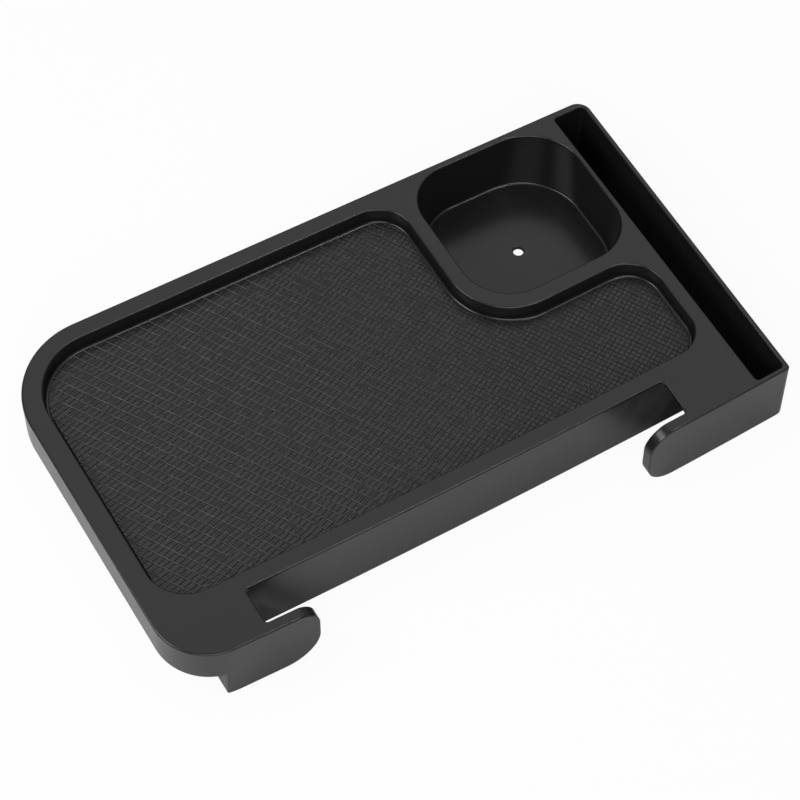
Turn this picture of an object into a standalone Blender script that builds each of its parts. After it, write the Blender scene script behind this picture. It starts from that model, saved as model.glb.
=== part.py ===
"""Camping chair side tray: a moulded tray that hooks over a chair's arm, and the textured mat in its recess.

Metres, +Z up. X runs from the rounded end (-X) to the tablet slot (+X), and the two arm hooks are on the
near side (-Y). The tray's plan is drawn from its rounded end and its near edge, as a mould drawing is, and
both objects are then placed with the middle of the tray's footprint on the origin and its feet at Z = 0.
"""

import math

import bmesh
import bpy
from mathutils import Vector

# Outline of the tray, seen from above
LENGTH = 0.3606
FAR_EDGE_LEFT = 0.2150
FAR_EDGE_RIGHT = 0.2038
NEAR_PEAK_AT = 0.2150
NEAR_PEAK = -0.0035
NEAR_ARC_RADIUS = 4.15
FAR_LEFT_RADIUS = 0.0460
NEAR_LEFT_RADIUS = 0.0315
FAR_RIGHT_RADIUS = 0.0082
NEAR_RIGHT_RADIUS = 0.0020

# Heights and walls
HEIGHT = 0.0445
SKIRT = 0.0238
WALL = 0.0022
TOP = 0.0024
RIM_ROUNDING = 0.0008

# Recess for small things, with the mat in it
RECESS_DEPTH = 0.0106
RECESS_LEFT_RIM = 0.0116
RECESS_FAR_RIM = 0.0099
RECESS_RIGHT_RIM = 0.0082
RECESS_NEAR_RIM = 0.0098
RECESS_FLOOR = 0.0022
RECESS_DRAFT = 0.0003
RECESS_BASE_ROUNDING = 0.0014
RECESS_FAR_LEFT_RADIUS = 0.0350
RECESS_NEAR_LEFT_RADIUS = 0.0230
RECESS_NEAR_RIGHT_RADIUS = 0.0165
RECESS_SLOT_RADIUS = 0.0205
RECESS_CUP_RADIUS = 0.0370
RECESS_FAR_RADIUS = 0.0200

# Cup well
CUP_LENGTH = 0.0934
CUP_WIDTH = 0.0925
CUP_DEPTH = 0.0394
CUP_NEAR_LEFT_RADIUS = 0.0290
CUP_NEAR_RIGHT_RADIUS = 0.0245
CUP_FAR_RIGHT_RADIUS = 0.0320
CUP_FAR_LEFT_RADIUS = 0.0235
CUP_FAR_RIM = 0.0039
CUP_SLOT_RIM = 0.0037
CUP_RECESS_RIM_X = 0.0089
CUP_RECESS_RIM_Y = 0.0094
CUP_DRAFT = 0.0006
CUP_FLOOR_RADIUS_GAIN = 0.0070
CUP_BASE_ROUNDING = 0.0014
CUP_FLOOR = 0.0024
DRAIN_RADIUS = 0.0030
DRAIN_SHIFT_X = 0.0012
DRAIN_SHIFT_Y = 0.0011

# Slot for a tablet or a phone
SLOT_WIDTH = 0.0174
SLOT_FLARE = 0.0013
SLOT_OUTER_WALL = 0.0026
SLOT_NEAR_WALL = 0.0026
SLOT_FAR_WALL = 0.0040
SLOT_FLOOR = 0.0022
SLOT_RADIUS = 0.0022
SLOT_DRAFT = 0.0003
BLOCK_FOOT_RADIUS = 0.0042

# Channel for the chair's arm, with the two hooks on its outer side
HOOK = 0.0062
HOOK_WALL = 0.0020
HOOK_START = 0.0238
LEFT_HOOK_TIP = 0.0768
RIGHT_HOOK_TIP = 0.0875
LEFT_HOOK_TOP_RADIUS = 0.0125
LEFT_HOOK_FOOT_RADIUS = 0.0205
RIGHT_HOOK_TOP_RADIUS = 0.0160
RIGHT_HOOK_FOOT_RADIUS = 0.0165
HOOK_END_RADIUS = 0.0016
CHANNEL_BACK_PEAK_AT = 0.2270
CHANNEL_BACK_PEAK = 0.0253
CHANNEL_BACK_RADIUS = 7.1
CHANNEL_BACK_LIFT = 0.0012
NOTCH_LEFT = 0.0499
NOTCH_RIGHT = 0.0624
NOTCH_RADIUS = 0.0020
CHANNEL_RADIUS = 0.0008

# Ribs under the recess
RIB = 0.0016
RIB_RISE = 0.0006
CROSS_RIBS = 4
LONG_RIBS = 2

# Mat
MAT_THICKNESS = 0.0010
MAT_SEAT = 0.0003
MAT_EDGE_GAP = 0.0005
MAT_ROUNDING = 0.0003

# Colours, roughness, and the least angle at which an edge shows sharp
BODY_COLOUR = (0.035, 0.036, 0.038)
BODY_ROUGHNESS = 0.38
MAT_COLOUR = (0.030, 0.030, 0.031)
MAT_ROUGHNESS = 0.72
SHARP_ANGLE = math.radians(30.0)

# How finely round stretches are drawn, and how far a cutter runs past what it cuts
ARC_STEP = math.radians(4.5)
ARC_POINTS = 12
RIM_STEPS = 3
BASE_STEPS = 4
DRAIN_SIDES = 30
CORNER_ROOM = 1.1
LEAST_RADIUS = 0.00005
PAST = 0.0060


def arc_height(x, peak_at, peak, radius):
    """Place across the tray of a long shallow arc that bulges towards the near side."""
    return peak + radius - math.sqrt(radius**2 - (x - peak_at) ** 2)


def near_edge(x):
    return arc_height(x, NEAR_PEAK_AT, NEAR_PEAK, NEAR_ARC_RADIUS)


def channel_back(x):
    return arc_height(x, CHANNEL_BACK_PEAK_AT, CHANNEL_BACK_PEAK, CHANNEL_BACK_RADIUS)


def far_edge(x):
    """The far edge, which comes in a little towards the slot end."""
    return FAR_EDGE_LEFT + x / LENGTH * (FAR_EDGE_RIGHT - FAR_EDGE_LEFT)


def slot_lean(y):
    """How far the slot's left side has moved outward at a place across the tray: the slot widens a little."""
    return SLOT_FLARE * y / FAR_EDGE_RIGHT


# Places that follow from the sizes above
SLOT_RIGHT = LENGTH - SLOT_OUTER_WALL
SLOT_LEFT = SLOT_RIGHT - SLOT_WIDTH
BLOCK_LEFT = SLOT_LEFT - WALL
CUP_RIGHT = SLOT_LEFT - CUP_SLOT_RIM
CUP_LEFT = CUP_RIGHT - CUP_LENGTH
RECESS_RIGHT = SLOT_LEFT - RECESS_RIGHT_RIM
RECESS_CUP_SIDE = CUP_LEFT - CUP_RECESS_RIM_X
HOOK_RIGHT_TIP_X = LENGTH - RIGHT_HOOK_TIP
NOTCH_RIGHT_X = LENGTH - NOTCH_RIGHT
CHANNEL_LEFT_X = HOOK_START + WALL
CHANNEL_RIGHT_X = BLOCK_LEFT
SKIRT_FOOT = HEIGHT - SKIRT
RECESS_FLOOR_Z = HEIGHT - RECESS_DEPTH


def line_turn(before, corner, after):
    """Turn of the outline at a corner: positive to the left, in radians."""
    first = math.atan2(corner[1] - before[1], corner[0] - before[0])
    second = math.atan2(after[1] - corner[1], after[0] - corner[0])
    return (second - first + math.pi) % (2 * math.pi) - math.pi


def moved_corner(before, corner, after, outward):
    """Where the two sides at a corner meet once both have moved outward; outlines run anticlockwise."""
    into = Vector((corner[0] - before[0], corner[1] - before[1])).normalized()
    out = Vector((after[0] - corner[0], after[1] - corner[1])).normalized()
    into_normal = Vector((into.y, -into.x))
    out_normal = Vector((out.y, -out.x))
    shift = (into_normal + out_normal) * (outward / (1.0 + into_normal.dot(out_normal)))
    return corner[0] + shift.x, corner[1] + shift.y


def outline(corners, outward=0.0):
    """Points of an outline given as (x, y, radius) corners, moved outward, with each corner rounded.

    Every call on the same corners gives the same number of points, so the rings of a loft match."""
    points = []
    count = len(corners)
    for index, corner in enumerate(corners):
        before = corners[index - 1]
        after = corners[(index + 1) % count]
        turn = line_turn(before, corner, after)
        x, y = moved_corner(before, corner, after, outward)
        radius = corner[2] + (outward if turn > 0 else -outward)
        if corner[2] <= 0.0:
            points.append((x, y))
            continue
        radius = max(radius, LEAST_RADIUS)
        steps = max(2, math.ceil(abs(turn) / ARC_STEP))
        into = Vector((corner[0] - before[0], corner[1] - before[1])).normalized()
        reach = radius * math.tan(abs(turn) / 2)
        side = 1.0 if turn > 0 else -1.0
        start = Vector((x, y)) - into * reach
        centre = start + Vector((-into.y, into.x)) * radius * side
        arm = start - centre
        for step in range(steps + 1):
            angle = turn * step / steps
            x = centre.x + arm.x * math.cos(angle) - arm.y * math.sin(angle)
            y = centre.y + arm.x * math.sin(angle) + arm.y * math.cos(angle)
            points.append((x, y))
    return points


def loft(name, rings):
    """A closed solid through rings of (points, z), listed from the bottom up, with flat ends."""
    bm = bmesh.new()
    rows = [[bm.verts.new((x, y, z)) for x, y in points] for points, z in rings]
    for lower, upper in zip(rows[:-1], rows[1:]):
        for index in range(len(lower)):
            after = (index + 1) % len(lower)
            bm.faces.new((lower[index], lower[after], upper[after], upper[index]))
    bm.faces.new(list(reversed(rows[0])))
    bm.faces.new(rows[-1])
    return finished(name, bm)


def prism_across(name, points, near, far):
    """A closed solid with an outline of (x, z) points, run along Y from near to far."""
    bm = bmesh.new()
    front = [bm.verts.new((x, near, z)) for x, z in points]
    back = [bm.verts.new((x, far, z)) for x, z in points]
    for index in range(len(points)):
        after = (index + 1) % len(points)
        bm.faces.new((front[after], front[index], back[index], back[after]))
    bm.faces.new(front)
    bm.faces.new(list(reversed(back)))
    return finished(name, bm)


def finished(name, bm):
    bmesh.ops.recalc_face_normals(bm, faces=bm.faces)
    mesh = bpy.data.meshes.new(name)
    bm.to_mesh(mesh)
    bm.free()
    obj = bpy.data.objects.new(name, mesh)
    bpy.context.scene.collection.objects.link(obj)
    return obj


def combine(target, tool, operation):
    """Joins, cuts or trims the target with the tool, and removes the tool."""
    modifier = target.modifiers.new("combine", "BOOLEAN")
    modifier.operation = operation
    modifier.solver = "EXACT"
    modifier.object = tool
    graph = bpy.context.evaluated_depsgraph_get()
    mesh = bpy.data.meshes.new_from_object(target.evaluated_get(graph))
    target.modifiers.remove(modifier)
    old = target.data
    target.data = mesh
    bpy.data.meshes.remove(old)
    bpy.data.objects.remove(tool)


def rectangle(left, near, right, far):
    return [(left, near), (right, near), (right, far), (left, far)]


def quarter_round(radius, steps):
    """Points of a rounding from its steep end to its flat end: how far aside and how far up each one is."""
    angles = [math.pi / 2 * step / steps for step in range(steps + 1)]
    return [(radius * (1 - math.cos(angle)), radius * math.sin(angle)) for angle in angles]


def rim_rings(corners, radius):
    """Rings of a cutter that rounds a rim's edge outward up to the tray's top, and then clears it."""
    low = HEIGHT - radius
    rings = [(outline(corners, aside), low + up) for aside, up in quarter_round(radius, RIM_STEPS)]
    rings.append((outline(corners, radius), HEIGHT + PAST))
    return rings


def base_rings(corners, inset, floor, radius):
    """Rings of a rounded base edge, from its floor up to the foot of its wall."""
    top = floor + radius
    points = reversed(quarter_round(radius, BASE_STEPS))
    return [(outline(corners, -inset - aside), top - up) for aside, up in points]


def pocket(name, corners, depth, draft, edge, base, radius_gain=0.0):
    """Cutter for a pocket open at the top: a rounded rim edge, drafted sides and a rounded base edge."""
    floor_corners = [(x, y, radius + radius_gain) for x, y, radius in corners]
    return loft(name, base_rings(floor_corners, draft, HEIGHT - depth, base) + rim_rings(corners, edge))


def along(edge, left, right, shift=0.0):
    """Unrounded corners that follow an edge's arc from left to right, moved across the tray."""
    corners = []
    for step in range(ARC_POINTS):
        x = left + (right - left) * step / (ARC_POINTS - 1)
        corners.append((x, edge(x) + shift, 0.0))
    return corners


def tray_corners():
    near = along(near_edge, NEAR_LEFT_RADIUS * CORNER_ROOM, LENGTH - NEAR_RIGHT_RADIUS * CORNER_ROOM)
    return [
        (0.0, near_edge(0.0), NEAR_LEFT_RADIUS),
        *near,
        (LENGTH, near_edge(LENGTH), NEAR_RIGHT_RADIUS),
        (LENGTH, FAR_EDGE_RIGHT, FAR_RIGHT_RADIUS),
        (0.0, FAR_EDGE_LEFT, FAR_LEFT_RADIUS),
    ]


def cup_corners():
    far_left = far_edge(CUP_LEFT) - CUP_FAR_RIM
    far_right = far_edge(CUP_RIGHT) - CUP_FAR_RIM
    near = cup_near()
    return [
        (CUP_LEFT, near, CUP_NEAR_LEFT_RADIUS),
        (CUP_RIGHT, near, CUP_NEAR_RIGHT_RADIUS),
        (CUP_RIGHT, far_right, CUP_FAR_RIGHT_RADIUS),
        (CUP_LEFT, far_left, CUP_FAR_LEFT_RADIUS),
    ]


def cup_near():
    return far_edge((CUP_LEFT + CUP_RIGHT) / 2) - CUP_FAR_RIM - CUP_WIDTH


def recess_near(x):
    return channel_back(x) + RECESS_NEAR_RIM


def recess_corners():
    """The recess goes round the cup well, so its outline turns inward once."""
    beside_cup = cup_near() - CUP_RECESS_RIM_Y
    near = along(
        recess_near,
        RECESS_LEFT_RIM + RECESS_NEAR_LEFT_RADIUS * CORNER_ROOM,
        RECESS_RIGHT - RECESS_NEAR_RIGHT_RADIUS * CORNER_ROOM,
    )
    return [
        (RECESS_LEFT_RIM, recess_near(RECESS_LEFT_RIM), RECESS_NEAR_LEFT_RADIUS),
        *near,
        (RECESS_RIGHT, recess_near(RECESS_RIGHT), RECESS_NEAR_RIGHT_RADIUS),
        (RECESS_RIGHT, beside_cup, RECESS_SLOT_RADIUS),
        (RECESS_CUP_SIDE, beside_cup, RECESS_CUP_RADIUS),
        (RECESS_CUP_SIDE, far_edge(RECESS_CUP_SIDE) - RECESS_FAR_RIM, RECESS_FAR_RADIUS),
        (RECESS_LEFT_RIM, far_edge(RECESS_LEFT_RIM) - RECESS_FAR_RIM, RECESS_FAR_LEFT_RADIUS),
    ]


def slot_corners():
    near = near_edge(SLOT_LEFT) + SLOT_NEAR_WALL
    far = far_edge(SLOT_LEFT) - SLOT_FAR_WALL
    return [
        (SLOT_LEFT - slot_lean(near), near, SLOT_RADIUS),
        (SLOT_RIGHT, near_edge(SLOT_RIGHT) + SLOT_NEAR_WALL, SLOT_RADIUS),
        (SLOT_RIGHT, far_edge(SLOT_RIGHT) - SLOT_FAR_WALL, SLOT_RADIUS),
        (SLOT_LEFT - slot_lean(far), far, SLOT_RADIUS),
    ]


def channel_corners(left, right, radius):
    """Plan of the channel between two places along it, from the hooks' inner faces to the back face."""
    room = radius * CORNER_ROOM
    near = along(near_edge, left + room, right - room, HOOK)
    back = along(channel_back, left + room, right - room)
    return [
        (left, near_edge(left) + HOOK, radius),
        *near,
        (right, near_edge(right) + HOOK, radius),
        (right, channel_back(right), radius),
        *reversed(back),
        (left, channel_back(left), radius),
    ]


def outer_solid():
    """The tray's full outline at full height, with a rounded edge all round the top."""
    corners = tray_corners()
    rings = [(outline(corners), 0.0)]
    for aside, up in quarter_round(RIM_ROUNDING, RIM_STEPS):
        rings.append((outline(corners, -aside), HEIGHT - RIM_ROUNDING + up))
    return loft("tray_body", rings)


def behind_the_channel(name, low, high):
    """Everything in plan that isn't the channel or the slot's block: the underside that opens downwards."""
    wall_back = channel_back(BLOCK_LEFT) + WALL
    far = FAR_EDGE_LEFT + PAST
    back = [
        (HOOK_START, -PAST * 2),
        (HOOK_START, channel_back(HOOK_START) + WALL),
        (BLOCK_LEFT - slot_lean(wall_back), wall_back),
        (BLOCK_LEFT - slot_lean(far), far),
        (-PAST, far),
        (-PAST, -PAST * 2),
    ]
    return loft(name, [(back, low), (back, high)])


def under_cut():
    """Cuts the body away below the skirt."""
    return behind_the_channel("under_cut", -PAST, SKIRT_FOOT)


def hook_end_rounding():
    """Rounds the upright outer edge at the left hook's outer end, below the skirt."""
    radius = HOOK_END_RADIUS
    slope = math.degrees(math.atan2(near_edge(HOOK_START + radius) - near_edge(HOOK_START), radius))
    near = near_edge(HOOK_START)
    plan = [(HOOK_START - PAST, near - PAST), (HOOK_START + radius, near - PAST)]
    plan += quarter(HOOK_START + radius, near + radius, radius, 270 + slope, 180)
    plan += [(HOOK_START - PAST, near + radius)]
    return loft("hook_end_rounding", [(plan, -PAST), (plan, SKIRT_FOOT)])


def under_hollow():
    """The hollow inside the skirt, up to the underside of the top."""
    inside = outline(tray_corners(), -WALL)
    hollow = loft("under_hollow", [(inside, SKIRT_FOOT - PAST / 2), (inside, HEIGHT - TOP)])
    combine(hollow, behind_the_channel("under_plan", SKIRT_FOOT - PAST, HEIGHT), "INTERSECT")
    return hollow


def channel_cut():
    plan = outline(channel_corners(CHANNEL_LEFT_X, CHANNEL_RIGHT_X, CHANNEL_RADIUS))
    return loft("channel_cut", [(plan, -PAST), (plan, HEIGHT - TOP)])


def notch_cut():
    """Opens the top over the middle of the channel, with a rounded edge."""
    corners = channel_corners(NOTCH_LEFT, NOTCH_RIGHT_X, NOTCH_RADIUS)
    return loft("notch_cut", [(outline(corners), HEIGHT - TOP - PAST / 4), *rim_rings(corners, RIM_ROUNDING)])


def hook_cores():
    """Hollows each hook from below, as thick moulded walls are, short of its rounded tip."""
    spans = [
        (HOOK_START + HOOK_WALL, LEFT_HOOK_TIP - LEFT_HOOK_FOOT_RADIUS),
        (HOOK_RIGHT_TIP_X + RIGHT_HOOK_FOOT_RADIUS, BLOCK_LEFT - HOOK_WALL),
    ]
    cores = []
    for left, right in spans:
        outer = along(near_edge, left, right, HOOK_WALL)
        inner = along(near_edge, left, right, HOOK - HOOK_WALL)
        plan = [(x, y) for x, y, radius in outer + list(reversed(inner))]
        cores.append(loft("hook_core", [(plan, -PAST), (plan, HEIGHT - TOP)]))
    return cores


def quarter(centre_x, centre_up, radius, start, end):
    """Points of an arc, in plan or from the side, from one angle to the other in degrees."""
    steps = max(2, math.ceil(abs(math.radians(end - start)) / ARC_STEP))
    points = []
    for step in range(steps + 1):
        angle = math.radians(start + (end - start) * step / steps)
        points.append((centre_x + radius * math.cos(angle), centre_up + radius * math.sin(angle)))
    return points


def hook_gap():
    """The gap between the hooks' tips, whose outline leaves each tip rounded like a letter D."""
    top = LEFT_HOOK_TOP_RADIUS
    foot = LEFT_HOOK_FOOT_RADIUS
    points = [(LEFT_HOOK_TIP - foot, -PAST)]
    points += quarter(LEFT_HOOK_TIP - foot, foot, foot, -90, 0)
    points += quarter(LEFT_HOOK_TIP - top, HEIGHT - top, top, 0, 90)
    points += [(LEFT_HOOK_TIP - top, HEIGHT + PAST)]
    top = RIGHT_HOOK_TOP_RADIUS
    foot = RIGHT_HOOK_FOOT_RADIUS
    points += [(HOOK_RIGHT_TIP_X + top, HEIGHT + PAST)]
    points += quarter(HOOK_RIGHT_TIP_X + top, HEIGHT - top, top, 90, 180)
    points += quarter(HOOK_RIGHT_TIP_X + foot, foot, foot, 180, 270)
    points += [(HOOK_RIGHT_TIP_X + foot, -PAST)]
    return prism_across("hook_gap", points, NEAR_PEAK - PAST, channel_middle())


def channel_middle():
    """A line along the channel, clear of the hooks and of the back wall."""
    return (NEAR_PEAK + HOOK + CHANNEL_BACK_PEAK) / 2


def foot_rounding():
    """Rounds the lower outer edge of the slot's block."""
    radius = BLOCK_FOOT_RADIUS
    points = [(LENGTH - radius, -PAST), (LENGTH + PAST, -PAST), (LENGTH + PAST, radius)]
    points += quarter(LENGTH - radius, radius, radius, 0, -90)
    return prism_across("foot_rounding", points, -PAST * 2, FAR_EDGE_LEFT + PAST)


def back_wall_lift():
    """The channel's back wall stops a little short of the feet."""
    points = rectangle(CHANNEL_LEFT_X, -PAST, CHANNEL_RIGHT_X, CHANNEL_BACK_LIFT)
    return prism_across("back_wall_lift", points, channel_middle(), cup_near() - PAST)


def recess_pan():
    corners = recess_corners()
    low = RECESS_FLOOR_Z - RECESS_FLOOR
    rings = [
        (outline(corners, WALL - RECESS_FLOOR / 2), low),
        (outline(corners, WALL), low + RECESS_FLOOR / 2),
        (outline(corners, WALL), HEIGHT - TOP / 2),
    ]
    return loft("recess_pan", rings)


def cup_pan():
    """The outside of the cup well, one wall outside its drafted pocket and rounded at the foot."""
    corners = cup_corners()
    floor_corners = [(x, y, radius + CUP_FLOOR_RADIUS_GAIN) for x, y, radius in corners]
    foot = HEIGHT - CUP_DEPTH - CUP_FLOOR
    rings = base_rings(floor_corners, CUP_DRAFT - WALL, foot, CUP_BASE_ROUNDING + CUP_FLOOR)
    rings.append((outline(corners, WALL), HEIGHT - TOP / 2))
    return loft("cup_pan", rings)


def ribs():
    """Stiffening ribs across and along the recess's underside, from the channel to the skirt."""
    low = SKIRT_FOOT + RIB_RISE
    high = RECESS_FLOOR_Z - RECESS_FLOOR / 2
    pieces = []
    first = RECESS_LEFT_RIM
    pitch_x = (RECESS_CUP_SIDE - first) / CROSS_RIBS
    for index in range(CROSS_RIBS):
        x = first + pitch_x * (index + 0.5)
        points = rectangle(x - RIB / 2, channel_back(x) + WALL / 2, x + RIB / 2, far_edge(x) - WALL / 2)
        pieces.append(loft("cross_rib", [(points, low), (points, high)]))
    near = recess_near(RECESS_LEFT_RIM)
    pitch_y = (far_edge(RECESS_CUP_SIDE) - near) / (LONG_RIBS + 1)
    for index in range(LONG_RIBS):
        y = near + pitch_y * (index + 1)
        beside_cup = y > cup_near() - CUP_RECESS_RIM_Y
        right = CUP_LEFT - WALL / 2 if beside_cup else BLOCK_LEFT + WALL / 2
        points = rectangle(WALL / 2, y - RIB / 2, right, y + RIB / 2)
        pieces.append(loft("long_rib", [(points, low), (points, high)]))
    return pieces


def drain_hole():
    x = CUP_LEFT + CUP_LENGTH / 2 + DRAIN_SHIFT_X
    y = cup_near() + CUP_WIDTH / 2 + DRAIN_SHIFT_Y
    points = []
    for index in range(DRAIN_SIDES):
        angle = 2 * math.pi * index / DRAIN_SIDES
        points.append((x + DRAIN_RADIUS * math.cos(angle), y + DRAIN_RADIUS * math.sin(angle)))
    return loft("drain_hole", [(points, -PAST), (points, HEIGHT - CUP_DEPTH + PAST)])


def material(name, colour, roughness):
    made = bpy.data.materials.new(name)
    made.use_nodes = True
    shader = made.node_tree.nodes["Principled BSDF"]
    shader.inputs["Base Color"].default_value = (*colour, 1.0)
    shader.inputs["Roughness"].default_value = roughness
    shader.inputs["Metallic"].default_value = 0.0
    return made


def shade(obj, surface):
    obj.data.materials.clear()
    obj.data.materials.append(surface)
    obj.data.shade_smooth()
    obj.data.set_sharp_from_angle(angle=SHARP_ANGLE)


def footprint_middle():
    """Middle of the tray's footprint, in the plan's own coordinates."""
    points = outline(tray_corners())
    nearest = min(near_edge(LEFT_HOOK_TIP), near_edge(HOOK_RIGHT_TIP_X))
    farthest = max(y for x, y in points)
    return LENGTH / 2, (nearest + farthest) / 2


def make_tray_body(surface):
    body = outer_solid()
    combine(body, under_cut(), "DIFFERENCE")
    combine(body, hook_end_rounding(), "DIFFERENCE")
    combine(body, under_hollow(), "DIFFERENCE")
    combine(body, recess_pan(), "UNION")
    combine(body, cup_pan(), "UNION")
    for rib in ribs():
        combine(body, rib, "UNION")
    combine(body, channel_cut(), "DIFFERENCE")
    combine(body, notch_cut(), "DIFFERENCE")
    combine(body, hook_gap(), "DIFFERENCE")
    combine(body, back_wall_lift(), "DIFFERENCE")
    combine(body, foot_rounding(), "DIFFERENCE")
    for core in hook_cores():
        combine(body, core, "DIFFERENCE")
    recess = pocket(
        "recess", recess_corners(), RECESS_DEPTH, RECESS_DRAFT, RIM_ROUNDING, RECESS_BASE_ROUNDING
    )
    combine(body, recess, "DIFFERENCE")
    cup = pocket(
        "cup_well",
        cup_corners(),
        CUP_DEPTH,
        CUP_DRAFT,
        RIM_ROUNDING,
        CUP_BASE_ROUNDING,
        CUP_FLOOR_RADIUS_GAIN,
    )
    combine(body, cup, "DIFFERENCE")
    slot = pocket(
        "slot", slot_corners(), HEIGHT - SLOT_FLOOR, SLOT_DRAFT, RIM_ROUNDING / 2, RIM_ROUNDING
    )
    combine(body, slot, "DIFFERENCE")
    combine(body, drain_hole(), "DIFFERENCE")
    middle_x, middle_y = footprint_middle()
    body.location = (-middle_x, -middle_y, 0.0)
    shade(body, surface)
    return body


def make_mat(surface):
    """The mat lies on the recess floor, clear of the rounding at the foot of its walls."""
    corners = recess_corners()
    edge = RECESS_DRAFT + RECESS_BASE_ROUNDING + MAT_EDGE_GAP
    middle_x = (RECESS_LEFT_RIM + RECESS_RIGHT) / 2
    middle_y = (recess_near(middle_x) + far_edge(RECESS_LEFT_RIM) - RECESS_FAR_RIM) / 2
    rings = []
    levels = [
        (MAT_ROUNDING, 0.0),
        (0.0, MAT_ROUNDING),
        (0.0, MAT_THICKNESS - MAT_ROUNDING),
        (MAT_ROUNDING, MAT_THICKNESS),
    ]
    for inset, level in levels:
        points = [(x - middle_x, y - middle_y) for x, y in outline(corners, -edge - inset)]
        rings.append((points, level))
    mat = loft("floor_mat", rings)
    tray_x, tray_y = footprint_middle()
    mat.location = (middle_x - tray_x, middle_y - tray_y, RECESS_FLOOR_Z + MAT_SEAT)
    shade(mat, surface)
    return mat


def main():
    for obj in list(bpy.data.objects):
        bpy.data.objects.remove(obj)
    make_tray_body(material("black_satin_plastic", BODY_COLOUR, BODY_ROUGHNESS))
    make_mat(material("textured_mat", MAT_COLOUR, MAT_ROUGHNESS))


main()
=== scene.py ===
"""Looks of the camping chair side tray: satin black plastic, a cross-hatched mat, white studio."""

import math

import bmesh
import bpy
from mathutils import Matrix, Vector

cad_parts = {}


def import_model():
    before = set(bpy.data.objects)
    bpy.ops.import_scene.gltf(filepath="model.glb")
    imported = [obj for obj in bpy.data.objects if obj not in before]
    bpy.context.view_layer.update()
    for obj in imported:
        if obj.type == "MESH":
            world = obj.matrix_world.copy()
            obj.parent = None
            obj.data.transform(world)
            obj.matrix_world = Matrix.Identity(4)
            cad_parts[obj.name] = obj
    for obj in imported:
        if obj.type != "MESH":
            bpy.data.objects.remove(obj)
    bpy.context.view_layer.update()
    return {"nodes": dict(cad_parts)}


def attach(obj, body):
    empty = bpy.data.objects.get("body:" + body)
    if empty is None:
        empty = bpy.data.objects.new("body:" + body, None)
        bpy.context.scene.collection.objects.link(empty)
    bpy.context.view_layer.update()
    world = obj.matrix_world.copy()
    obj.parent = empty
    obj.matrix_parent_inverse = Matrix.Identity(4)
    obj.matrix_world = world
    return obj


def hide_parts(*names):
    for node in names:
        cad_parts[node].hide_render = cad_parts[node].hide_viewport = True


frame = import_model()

# Meshes: what counts as one point, as one flat face and as a sharp edge
WELD_DISTANCE = 1e-6
FLAT_ANGLE = math.radians(0.1)
SHARP_ANGLE = math.radians(40.0)
NORMALS_WEIGHT = 60

# Camera: where it stands, how it looks, and how far its picture is shifted
CAMERA_PLACE = (-0.41711, -0.72089, 1.34833)
VIEW_DIRECTION = (0.26650, 0.45650, -0.84887)
PIXELS_PER_RADIAN = 2949.54
IMAGE_SIZE = 800
SENSOR = 36.0
CENTRE_COLUMN = 397.93
CENTRE_ROW = 399.97
CLIP_NEAR = 0.05
CLIP_FAR = 20.0

# Plastic: a slight cloud in its colour, a slight smear in its gloss, a fine grain, rounded edges
PLASTIC_COLOUR = (0.0090, 0.0090, 0.0090)
PLASTIC_ROUGHNESS = 0.23
PLASTIC_SPECULAR = 0.42
CLOUD_SCALE = 18.0
CLOUD_DETAIL = 3.0
CLOUD_LOW = 0.3
CLOUD_HIGH = 0.7
CLOUD_DARKER = 0.92
CLOUD_LIGHTER = 1.08
SMEAR_SCALE = 65.0
SMEAR_DETAIL = 4.0
SMEAR = 0.03
GRAIN_SCALE = 2600.0
GRAIN_ROUGHNESS = 0.6
GRAIN_STRENGTH = 0.10
GRAIN_DEPTH = 0.00004
EDGE_ROUNDING = 0.0015
EDGE_SAMPLES = 12

# Mat: light lines run one way with a painted shadow line beside each, dark cross lines rise between
# them, and a finer grid lies under both
MAT_COLOUR = (0.0110, 0.0110, 0.0110)
# The dark lines' colour, also used for the painted shadow lines
MAT_DARK = (0.0020, 0.0020, 0.0020)
MAT_LIGHT = (0.1100, 0.1100, 0.1100)
MAT_ROUGHNESS = 0.19
MAT_SMEAR = 0.06
MAT_SPECULAR = 0.46
MAT_LINE_SPECULAR = 0.04
MAT_LINE_DEPTH = 0.60
MAT_RELIEF = 0.00029
LIGHT_LINE_PITCH = 0.0054
LIGHT_LINE_ANGLE = math.radians(31.0)
LIGHT_LINE_HALF_WIDTH = 0.00007
LIGHT_LINE_SOFTNESS = 0.00016
# How far a painted shadow line lies beside each light line
PAINTED_SHADOW_OFFSET = 0.00042
LIGHT_LINE_COVER = 0.85
LIGHT_LINE_RISE = 0.5
WANDER = 0.0010
WANDER_SCALE = 20.0
WANDER_DETAIL = 1.0
CROSS_LINE_PITCH = 0.0031
CROSS_LINE_SLOPE = 0.4175
CROSS_LINE_BEND = 0.65
CROSS_LINE_HALF_WIDTH = 0.00012
CROSS_LINE_SOFTNESS = 0.00027
QUIVER = 0.00060
QUIVER_SCALE = 190.0
GRID_CROSS_PITCH = CROSS_LINE_PITCH / 2
GRID_ROW_PITCH = LIGHT_LINE_PITCH / 2
GRID_HALF_WIDTH = CROSS_LINE_HALF_WIDTH / 2
SPECKLE_SCALE = 1500.0
SPECKLE_DETAIL = 3.0
SPECKLE_ROUGHNESS = 0.7
SPECKLE_LOW = 0.3
SPECKLE_HIGH = 0.7
SPECKLE_DARKER = 0.10
SPECKLE_LIGHTER = 1.90
SPECKLE_RISE = 0.32

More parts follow.
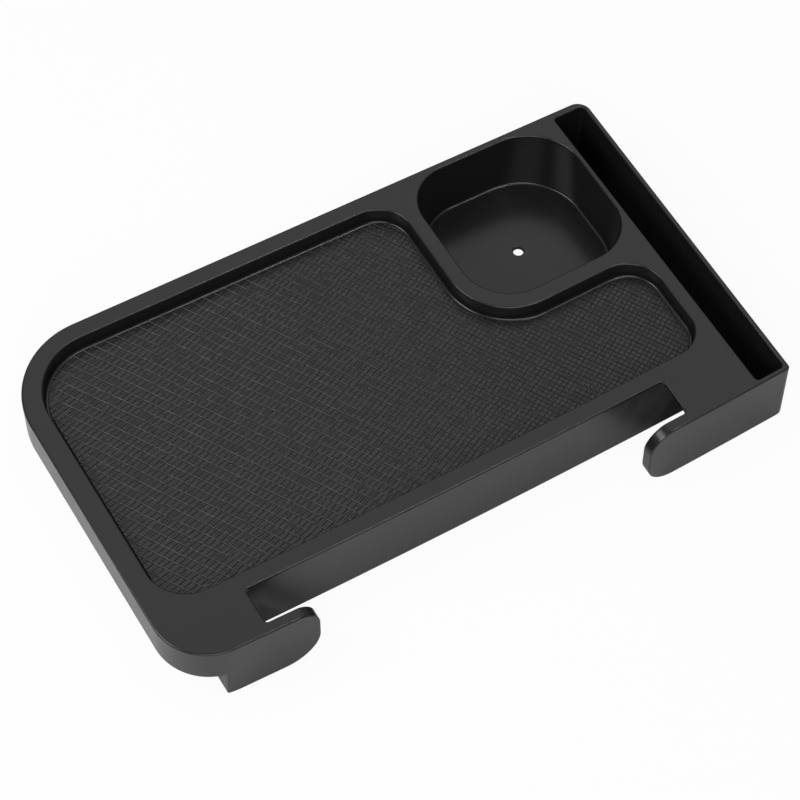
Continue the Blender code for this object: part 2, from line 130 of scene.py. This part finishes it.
# Patches in the mat's pattern: a noise's scale, the shares at two of its values, and those values
# The painted shadow lines' strength differs from patch to patch
PAINTED_SHADOW_PATCHES = (110.0, 0.5, 1.0, 0.38, 0.56)
CALM_PATCHES = (95.0, 1.0, 0.6, 0.66, 0.74)
LIGHT_PATCHES = (230.0, 0.30, 1.0, 0.38, 0.60)
CROSS_PATCHES = (160.0, 0.70, 1.0, 0.32, 0.52)
GRID_CROSS_PATCHES = (240.0, 0.0, 0.70, 0.44, 0.60)
GRID_ROW_PATCHES = (180.0, 0.45, 1.0, 0.32, 0.52)

# Fades along the mat: the shares towards the rounded end and the slot, and where each is reached
LIGHT_FADE = (1.0, 0.12, -0.06, 0.07)
SHIFT_FADE = (0.6, 0.12, -0.05, 0.07)
GRID_ROW_FADE = (0.12, 1.0, -0.06, 0.06)

# Studio: the floor lies just under the feet; a mirror share is how much of a reflection is white
WHITE = (1.0, 1.0, 1.0, 1.0)
FLOOR_COLOUR = (0.74, 0.74, 0.74, 1.0)
FLOOR_REACH = 3.0
FLOOR_HEIGHT = -0.0002
FLOOR_GLOW_SHARE = 0.94
FLOOR_MIRROR_SHARE = 0.03
WORLD_LEVEL = 0.22
WORLD_MIRROR_SHARE = 0.10

# Lamps: place, the point each is aimed at, width, height and power
LAMPS = {
    "far_light": ((0.76, 1.15, 2.08), (0.0, 0.0, 0.0), 2.4, 2.0, 11.2),
    "top_light": ((1.30, -1.05, 5.75), (0.0, 0.0, 0.0), 1.6, 0.60, 58.0),
    "near_light": ((-0.9, -1.7, 1.5), (0.0, 0.0, 0.0), 1.6, 1.3, 27.5),
    "left_light": ((-0.75, 0.15, 0.80), (-0.20, 0.05, 0.0), 0.5, 0.5, 5.5),
}


def placed(name, data):
    """A new object in the scene, made of a mesh, a lamp or a camera."""
    made = bpy.data.objects.new(name, data)
    bpy.context.scene.collection.objects.link(made)
    return made


def weld(node):
    """A copy of a CAD node with its triangles joined, smooth where it curves, sharp at edges."""
    mesh = bpy.data.meshes.new(node.name + "_shown")
    bm = bmesh.new()
    bm.from_mesh(node.data)
    bm.transform(node.matrix_world)
    bmesh.ops.remove_doubles(bm, verts=bm.verts, dist=WELD_DISTANCE)
    bmesh.ops.recalc_face_normals(bm, faces=bm.faces)
    bmesh.ops.dissolve_limit(bm, angle_limit=FLAT_ANGLE, verts=bm.verts, edges=bm.edges)
    bm.to_mesh(mesh)
    bm.free()
    piece = placed(node.name + "_shown", mesh)
    mesh.shade_smooth()
    mesh.set_sharp_from_angle(angle=SHARP_ANGLE)
    normals = piece.modifiers.new("normals", "WEIGHTED_NORMAL")
    normals.mode = "FACE_AREA"
    normals.weight = NORMALS_WEIGHT
    normals.keep_sharp = True
    return piece


def worked_out(tree, operation, *inputs):
    """The result of a Math node whose inputs are sockets and numbers."""
    node = tree.nodes.new("ShaderNodeMath")
    node.operation = operation
    for index, item in enumerate(inputs):
        if isinstance(item, (int, float)):
            node.inputs[index].default_value = item
        else:
            tree.links.new(item, node.inputs[index])
    return node.outputs[0]


class Graph:
    """Short calls for building a material's nodes."""

    def __init__(self, name):
        self.material = bpy.data.materials.new(name)
        self.material.use_nodes = True
        self.tree = self.material.node_tree
        self.shader = self.tree.nodes["Principled BSDF"]

    def add(self, kind, **settings):
        node = self.tree.nodes.new(kind)
        for key, value in settings.items():
            setattr(node, key, value)
        return node

    def join(self, source, target):
        self.tree.links.new(source, target)

    def value(self, operation, *inputs):
        return worked_out(self.tree, operation, *inputs)

    def times(self, *inputs):
        return self.value("MULTIPLY", *inputs)

    def noise(self, place, scale, detail=2.0, roughness=0.5):
        node = self.add("ShaderNodeTexNoise")
        node.inputs["Scale"].default_value = scale
        node.inputs["Detail"].default_value = detail
        node.inputs["Roughness"].default_value = roughness
        self.join(place, node.inputs["Vector"])
        return node.outputs["Fac"]

    def ramp(self, source, low, high, from_low=0.0, from_high=1.0, smooth=False):
        node = self.add("ShaderNodeMapRange")
        if smooth:
            node.interpolation_type = "SMOOTHSTEP"
        node.inputs["From Min"].default_value = from_low
        node.inputs["From Max"].default_value = from_high
        node.inputs["To Min"].default_value = low
        node.inputs["To Max"].default_value = high
        self.join(source, node.inputs["Value"])
        return node.outputs["Result"]

    def patches(self, place, scale, *span):
        """A share that differs from patch to patch."""
        return self.ramp(self.noise(place, scale), *span)

    def blend(self, share, first, second):
        node = self.add("ShaderNodeMix", data_type="RGBA")
        self.join(share, node.inputs["Factor"])
        for socket, item in ((node.inputs[6], first), (node.inputs[7], second)):
            if isinstance(item, tuple):
                socket.default_value = (*item, 1.0)
            else:
                self.join(item, socket)
        return node.outputs[2]

    def bump(self, height, strength, distance):
        node = self.add("ShaderNodeBump")
        node.inputs["Strength"].default_value = strength
        node.inputs["Distance"].default_value = distance
        self.join(height, node.inputs["Height"])
        self.join(node.outputs["Normal"], self.shader.inputs["Normal"])
        return node

    def place(self):
        return self.add("ShaderNodeTexCoord").outputs["Object"]


def scaled(colour, factor):
    return tuple(factor * part for part in colour)


def plastic():
    graph = Graph("satin_plastic")
    place = graph.place()
    cloud = graph.noise(place, CLOUD_SCALE, detail=CLOUD_DETAIL)
    tint = graph.ramp(cloud, 0.0, 1.0, CLOUD_LOW, CLOUD_HIGH)
    darker, lighter = scaled(PLASTIC_COLOUR, CLOUD_DARKER), scaled(PLASTIC_COLOUR, CLOUD_LIGHTER)
    graph.join(graph.blend(tint, darker, lighter), graph.shader.inputs["Base Color"])
    graph.shader.inputs["Specular IOR Level"].default_value = PLASTIC_SPECULAR
    smear = graph.noise(place, SMEAR_SCALE, detail=SMEAR_DETAIL)
    gloss = graph.ramp(smear, PLASTIC_ROUGHNESS - SMEAR, PLASTIC_ROUGHNESS + SMEAR)
    graph.join(gloss, graph.shader.inputs["Roughness"])
    rounded = graph.add("ShaderNodeBevel", samples=EDGE_SAMPLES)
    rounded.inputs["Radius"].default_value = EDGE_ROUNDING
    grain = graph.noise(place, GRAIN_SCALE, roughness=GRAIN_ROUGHNESS)
    bump = graph.bump(grain, GRAIN_STRENGTH, GRAIN_DEPTH)
    graph.join(rounded.outputs["Normal"], bump.inputs["Normal"])
    return graph.material


def line(graph, position, pitch, half_width, softness):
    """1 on evenly spaced lines and 0 between them, with the number of each point's space."""
    count = graph.value("DIVIDE", position, pitch)
    space = graph.value("FLOOR", count)
    part = graph.value("SUBTRACT", count, space)
    middle = graph.value("SUBTRACT", part, 0.5)
    edge = graph.value("SUBTRACT", 0.5, graph.value("ABSOLUTE", middle))
    edge = graph.times(edge, pitch)
    mask = graph.ramp(edge, 1.0, 0.0, half_width, half_width + softness, smooth=True)
    return mask, space


def light_lines(graph, place, across, up, calm):
    """The light lines, a painted shadow line beside each, and each point's row and place among
    them.
    """
    first = graph.times(across, math.cos(LIGHT_LINE_ANGLE))
    second = graph.times(up, math.sin(LIGHT_LINE_ANGLE))
    wander = graph.noise(place, WANDER_SCALE, detail=WANDER_DETAIL)
    wander = graph.ramp(wander, -WANDER, WANDER)
    position = graph.value("ADD", graph.value("ADD", first, second), wander)
    form = (LIGHT_LINE_PITCH, LIGHT_LINE_HALF_WIDTH, LIGHT_LINE_SOFTNESS)
    light, row = line(graph, position, *form)
    light = graph.times(light, graph.times(graph.patches(place, *LIGHT_PATCHES), calm))
    light = graph.times(light, graph.ramp(across, *LIGHT_FADE))
    # A painted shadow: a dark line beside each light line, standing in for the shadow of the raised
    # line
    painted_shadow, _ = line(graph, graph.value("ADD", position, PAINTED_SHADOW_OFFSET), *form)
    painted_shadow = graph.times(painted_shadow, graph.patches(place, *PAINTED_SHADOW_PATCHES))
    return light, painted_shadow, row, position


def cross_lines(graph, place, across, up, row):
    """The cross lines, set off from row to row at the rounded end, and each point's place."""
    bend = graph.times(graph.times(across, across), CROSS_LINE_BEND)
    slope = graph.times(across, CROSS_LINE_SLOPE)
    cross = graph.value("SUBTRACT", graph.value("SUBTRACT", up, slope), bend)
    scatter = graph.add("ShaderNodeTexWhiteNoise", noise_dimensions="1D")
    graph.join(row, scatter.inputs["W"])
    shift = graph.ramp(scatter.outputs["Value"], 0.0, CROSS_LINE_PITCH)
    shift = graph.times(shift, graph.ramp(across, *SHIFT_FADE))
    quiver = graph.ramp(graph.noise(place, QUIVER_SCALE), -QUIVER, QUIVER)
    cross = graph.value("ADD", graph.value("ADD", cross, shift), quiver)
    dark, _ = line(graph, cross, CROSS_LINE_PITCH, CROSS_LINE_HALF_WIDTH, CROSS_LINE_SOFTNESS)
    return graph.times(dark, graph.patches(place, *CROSS_PATCHES)), cross


def finer_grid(graph, place, across, cross, position):
    """Lines half as far apart, both ways; those along the light lines grow towards the slot."""
    form = (GRID_HALF_WIDTH, CROSS_LINE_SOFTNESS)
    fine_cross, _ = line(graph, cross, GRID_CROSS_PITCH, *form)
    fine_cross = graph.times(fine_cross, graph.patches(place, *GRID_CROSS_PATCHES))
    fine_row, _ = line(graph, position, GRID_ROW_PITCH, *form)
    fine_row = graph.times(fine_row, graph.ramp(across, *GRID_ROW_FADE))
    fine_row = graph.times(fine_row, graph.patches(place, *GRID_ROW_PATCHES))
    return graph.value("MAXIMUM", fine_cross, fine_row)


def mat():
    graph = Graph("cross_hatched_mat")
    place = graph.place()
    split = graph.add("ShaderNodeSeparateXYZ")
    graph.join(place, split.inputs[0])
    across, up = split.outputs["X"], split.outputs["Y"]
    calm = graph.patches(place, *CALM_PATCHES)
    light, painted_shadow, row, position = light_lines(graph, place, across, up, calm)
    dark, cross = cross_lines(graph, place, across, up, row)
    grid = finer_grid(graph, place, across, cross, position)
    # The painted shadow lines join the dark lines here, so they darken the colour, lower the shine
    # and cut into the relief
    dark = graph.value("MAXIMUM", dark, graph.value("MAXIMUM", grid, painted_shadow))
    dark = graph.times(dark, graph.times(calm, MAT_LINE_DEPTH))

    fine = graph.noise(place, SPECKLE_SCALE, detail=SPECKLE_DETAIL, roughness=SPECKLE_ROUGHNESS)
    speckle = graph.ramp(fine, 0.0, 1.0, SPECKLE_LOW, SPECKLE_HIGH)
    darker, lighter = scaled(MAT_COLOUR, SPECKLE_DARKER), scaled(MAT_COLOUR, SPECKLE_LIGHTER)
    ground = graph.blend(speckle, darker, lighter)
    ground = graph.blend(dark, ground, MAT_DARK)
    ground = graph.blend(graph.times(light, LIGHT_LINE_COVER), ground, MAT_LIGHT)
    graph.join(ground, graph.shader.inputs["Base Color"])
    gloss = graph.ramp(speckle, MAT_ROUGHNESS + MAT_SMEAR, MAT_ROUGHNESS - MAT_SMEAR)
    graph.join(gloss, graph.shader.inputs["Roughness"])
    shine = graph.ramp(dark, MAT_SPECULAR, MAT_LINE_SPECULAR)
    graph.join(shine, graph.shader.inputs["Specular IOR Level"])
    height = graph.value("SUBTRACT", graph.times(light, LIGHT_LINE_RISE), dark)
    height = graph.value("ADD", height, graph.times(fine, SPECKLE_RISE))
    graph.bump(height, 1.0, MAT_RELIEF)
    return graph.material


def white_share(tree, mirror_share):
    """How much of a ray sees white: all of a camera or transmission ray, part of a glossy one."""
    paths = tree.nodes.new("ShaderNodeLightPath").outputs
    straight = worked_out(tree, "MAXIMUM", paths["Is Camera Ray"], paths["Is Transmission Ray"])
    mirrored = worked_out(tree, "MULTIPLY", paths["Is Glossy Ray"], mirror_share)
    return worked_out(tree, "MAXIMUM", straight, mirrored)


def floor_white():
    """Glowing white for the rays that see it, mixed with a lit pale floor that keeps the shadow."""
    made = bpy.data.materials.new("floor_white")
    made.use_nodes = True
    tree = made.node_tree
    tree.nodes.clear()
    out = tree.nodes.new("ShaderNodeOutputMaterial")
    diffuse = tree.nodes.new("ShaderNodeBsdfDiffuse")
    diffuse.inputs["Color"].default_value = FLOOR_COLOUR
    glow = tree.nodes.new("ShaderNodeEmission")
    glow.inputs["Strength"].default_value = 1.0
    mix = tree.nodes.new("ShaderNodeMixShader")
    share = worked_out(tree, "MULTIPLY", white_share(tree, FLOOR_MIRROR_SHARE), FLOOR_GLOW_SHARE)
    tree.links.new(share, mix.inputs[0])
    tree.links.new(diffuse.outputs[0], mix.inputs[1])
    tree.links.new(glow.outputs[0], mix.inputs[2])
    tree.links.new(mix.outputs[0], out.inputs["Surface"])
    return made


def floor():
    bm = bmesh.new()
    for x, y in ((-1, -1), (1, -1), (1, 1), (-1, 1)):
        bm.verts.new((x * FLOOR_REACH, y * FLOOR_REACH, FLOOR_HEIGHT))
    bm.faces.new(bm.verts)
    mesh = bpy.data.meshes.new("floor")
    bm.to_mesh(mesh)
    bm.free()
    mesh.materials.append(floor_white())
    made = placed("floor", mesh)


def world():
    made = bpy.data.worlds.new("studio")
    made.use_nodes = True
    tree = made.node_tree
    background = tree.nodes["Background"]
    background.inputs["Color"].default_value = WHITE
    level = tree.nodes.new("ShaderNodeMapRange")
    level.inputs["To Min"].default_value = WORLD_LEVEL
    level.inputs["To Max"].default_value = 1.0
    tree.links.new(white_share(tree, WORLD_MIRROR_SHARE), level.inputs["Value"])
    tree.links.new(level.outputs["Result"], background.inputs["Strength"])
    bpy.context.scene.world = made


def aimed(name, data, place, direction):
    """A lamp or a camera at a place, looking in a direction."""
    made = placed(name, data)
    made.location = place
    made.rotation_mode = "QUATERNION"
    made.rotation_quaternion = direction.to_track_quat("-Z", "Y")
    return made


def lamp(name, place, target, width, height, power):
    light = bpy.data.lights.new(name, "AREA")
    light.shape = "RECTANGLE"
    light.size = width
    light.size_y = height
    light.energy = power
    aimed(name, light, place, Vector(target) - Vector(place)).visible_camera = False


def camera():
    data = bpy.data.cameras.new("camera")
    data.sensor_width = SENSOR
    data.lens = PIXELS_PER_RADIAN / IMAGE_SIZE * SENSOR
    data.shift_x = (IMAGE_SIZE / 2 - CENTRE_COLUMN) / IMAGE_SIZE
    data.shift_y = (CENTRE_ROW - IMAGE_SIZE / 2) / IMAGE_SIZE
    data.clip_start = CLIP_NEAR
    data.clip_end = CLIP_FAR
    bpy.context.scene.camera = aimed("camera", data, CAMERA_PLACE, Vector(VIEW_DIRECTION))


def main():
    body = weld(frame["nodes"]["tray_body"])
    body.data.materials.append(plastic())
    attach(body, "tray")
    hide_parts("tray_body")
    pad = weld(frame["nodes"]["floor_mat"])
    pad.data.materials.append(mat())
    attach(pad, "mat")
    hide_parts("floor_mat")
    camera()
    world()
    floor()
    for name, settings in LAMPS.items():
        lamp(name, *settings)
    bpy.context.scene.view_settings.view_transform = "Standard"


main()
